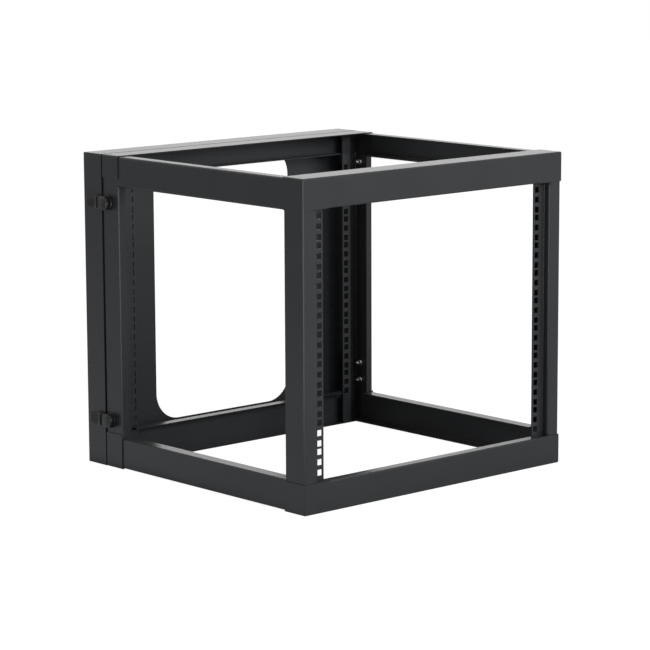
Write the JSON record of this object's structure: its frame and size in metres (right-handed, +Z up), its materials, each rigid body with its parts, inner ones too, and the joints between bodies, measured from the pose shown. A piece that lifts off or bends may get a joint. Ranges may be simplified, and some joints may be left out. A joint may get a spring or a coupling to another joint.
{
  "type": "open frame network rack",
  "caption": "Black wall mounted open frame rack for 19-inch equipment, with a shallow wall frame, a swing-out frame with square-holed rails and turn latches.",
  "frame": {"origin": "centre of the four wall bolts, on the plane of the wall", "axes": "+Z up, +Y into the wall, the equipment front faces -Y, +X to the right towards the hinges"},
  "size_m": [0.5695, 0.53, 0.505],
  "materials": {
    "black_powder_coat": "fine textured powder coat, satin",
    "zinc_steel": "bright zinc plated",
    "latch_plastic": "moulded, satin"
  },
  "bodies": {
    "wall_frame": {"wall_frame": "black_powder_coat", "wall_plate": "black_powder_coat", "upper_hinge_wall_leaf": "black_powder_coat", "lower_hinge_wall_leaf": "black_powder_coat", "upper_hinge_pin": "zinc_steel", "lower_hinge_pin": "zinc_steel", "hinge_wall_bolts": "zinc_steel", "hinge_wall_nuts": "zinc_steel", "upper_latch_keeper": "zinc_steel", "lower_latch_keeper": "zinc_steel"},
    "swing_frame": {"left_side_frame": "black_powder_coat", "right_side_frame": "black_powder_coat", "front_top_beam": "black_powder_coat", "front_bottom_beam": "black_powder_coat", "rear_top_beam": "black_powder_coat", "rear_bottom_beam": "black_powder_coat", "rear_left_rail": "black_powder_coat", "rear_right_rail": "black_powder_coat", "upper_hinge_frame_leaf": "black_powder_coat", "lower_hinge_frame_leaf": "black_powder_coat", "hinge_frame_bolts": "zinc_steel", "hinge_frame_nuts": "zinc_steel", "upper_latch_base": "latch_plastic", "lower_latch_base": "latch_plastic"},
    "upper_latch": {"upper_latch_handle": "latch_plastic", "upper_latch_pivot": "zinc_steel"},
    "lower_latch": {"lower_latch_handle": "latch_plastic", "lower_latch_pivot": "zinc_steel"}
  },
  "joints": [
    {"name": "frame_swing", "type": "hinge", "parent": "wall_frame", "child": "swing_frame", "pos_m": [0.2795, -0.0475, 0], "axis": [0, 0, 1], "range_deg": [0, 90]},
    {"name": "upper_latch_turn", "type": "hinge", "parent": "swing_frame", "child": "upper_latch", "pos_m": [-0.2735, -0.061, 0.176], "axis": [1, 0, 0], "range_deg": [0, 90]},
    {"name": "lower_latch_turn", "type": "hinge", "parent": "swing_frame", "child": "lower_latch", "pos_m": [-0.2735, -0.061, -0.176], "axis": [1, 0, 0], "range_deg": [0, 90]}
  ]
}
